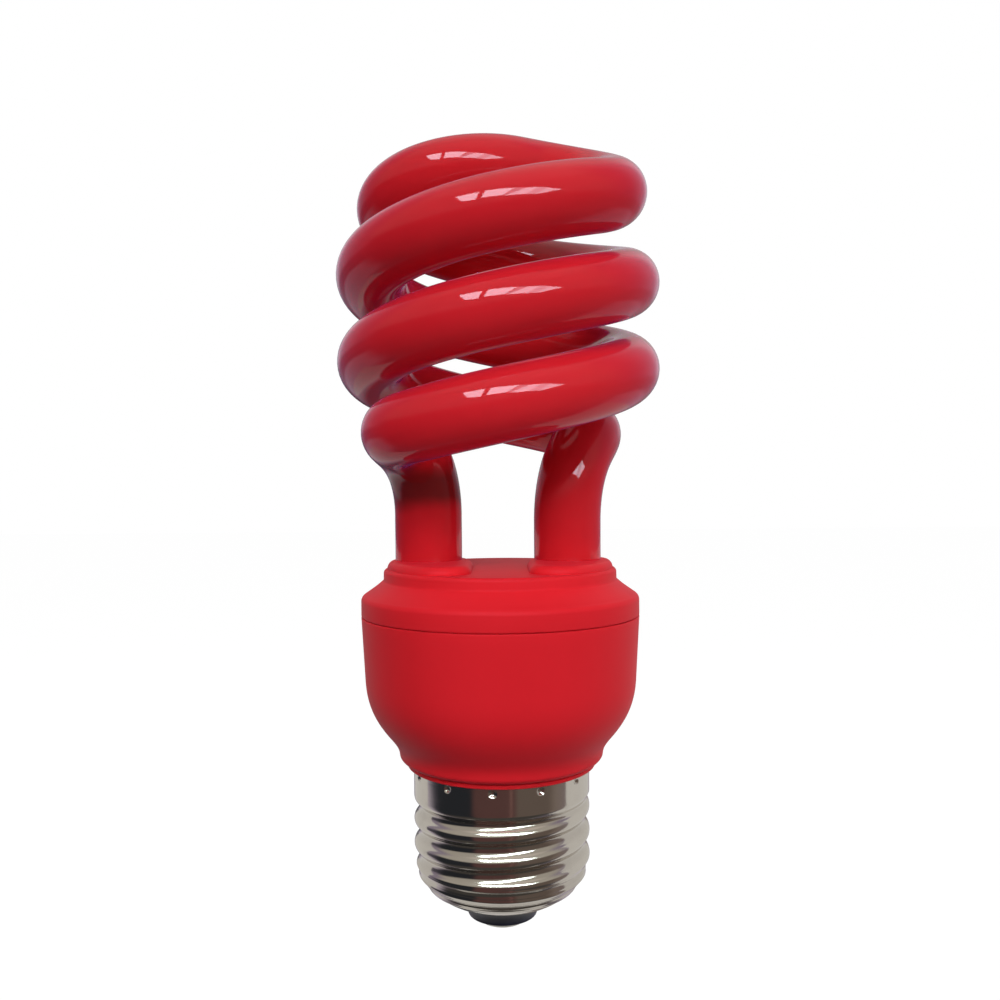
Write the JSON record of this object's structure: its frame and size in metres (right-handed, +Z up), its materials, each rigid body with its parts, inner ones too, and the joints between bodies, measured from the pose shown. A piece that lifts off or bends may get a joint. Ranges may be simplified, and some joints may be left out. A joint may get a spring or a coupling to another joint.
{
  "type": "compact fluorescent bulb",
  "caption": "Spiral compact fluorescent bulb with a red helical tube on a ballast housing, a medium screw cap and a centre contact at its tip.",
  "frame": {"origin": "middle of the centre contact's flat face, at the bulb's tip", "axes": "+Z up the bulb's axis from the cap to the tube, -Y towards the viewer of the picture, +X to that viewer's right"},
  "size_m": [0.0477, 0.0487, 0.1175],
  "materials": {
    "spiral_tube": "glossy red coating on glass",
    "top_cover": "satin moulded red plastic",
    "lower_housing": "satin moulded red plastic",
    "screw_shell": "bright nickel plating on thin sheet",
    "base_insulator": "dark vitrified glass",
    "centre_contact": "tinned button",
    "circuit_board": "brown paper laminate",
    "choke_core_upper": "dark ferrite",
    "choke_core_lower": "dark ferrite",
    "choke_bobbin": "moulded black plastic",
    "choke_winding": "enamelled copper wire",
    "toroid_core": "green coated ferrite",
    "toroid_winding_1": "enamelled copper wire",
    "toroid_winding_2": "enamelled copper wire",
    "toroid_winding_3": "enamelled copper wire",
    "electrolytic_capacitor": "dark blue shrink sleeve",
    "film_capacitor_1": "dipped brown red coating",
    "film_capacitor_2": "dipped brown red coating",
    "film_capacitor_3": "dipped brown red coating",
    "transistor_1": "moulded black epoxy",
    "transistor_2": "moulded black epoxy",
    "diode_1": "moulded black epoxy",
    "diode_2": "moulded black epoxy",
    "diode_3": "moulded black epoxy",
    "diode_4": "moulded black epoxy",
    "diac": "blue glass body",
    "resistor_1": "beige lacquer",
    "resistor_2": "beige lacquer",
    "resistor_3": "beige lacquer",
    "resistor_4": "beige lacquer",
    "fusible_resistor": "woven glass sleeve",
    "line_wire": "black insulation",
    "neutral_wire": "white insulation",
    "wrap_pin_1": "tinned square pin",
    "wrap_pin_2": "tinned square pin",
    "wrap_pin_3": "tinned square pin",
    "wrap_pin_4": "tinned square pin",
    "filament_lead_1": "plated lead wire",
    "filament_lead_2": "plated lead wire",
    "filament_lead_3": "plated lead wire",
    "filament_lead_4": "plated lead wire"
  },
  "bodies": {
    "root": {"spiral_tube": "spiral_tube", "top_cover": "top_cover", "lower_housing": "lower_housing", "screw_shell": "screw_shell", "base_insulator": "base_insulator", "centre_contact": "centre_contact", "circuit_board": "circuit_board", "choke_core_upper": "choke_core_upper", "choke_core_lower": "choke_core_lower", "choke_bobbin": "choke_bobbin", "choke_winding": "choke_winding", "toroid_core": "toroid_core", "toroid_winding_1": "toroid_winding_1", "toroid_winding_2": "toroid_winding_2", "toroid_winding_3": "toroid_winding_3", "electrolytic_capacitor": "electrolytic_capacitor", "film_capacitor_1": "film_capacitor_1", "film_capacitor_2": "film_capacitor_2", "film_capacitor_3": "film_capacitor_3", "transistor_1": "transistor_1", "transistor_2": "transistor_2", "diode_1": "diode_1", "diode_2": "diode_2", "diode_3": "diode_3", "diode_4": "diode_4", "diac": "diac", "resistor_1": "resistor_1", "resistor_2": "resistor_2", "resistor_3": "resistor_3", "resistor_4": "resistor_4", "fusible_resistor": "fusible_resistor", "line_wire": "line_wire", "neutral_wire": "neutral_wire", "wrap_pin_1": "wrap_pin_1", "wrap_pin_2": "wrap_pin_2", "wrap_pin_3": "wrap_pin_3", "wrap_pin_4": "wrap_pin_4", "filament_lead_1": "filament_lead_1", "filament_lead_2": "filament_lead_2", "filament_lead_3": "filament_lead_3", "filament_lead_4": "filament_lead_4"}
  },
  "joints": []
}
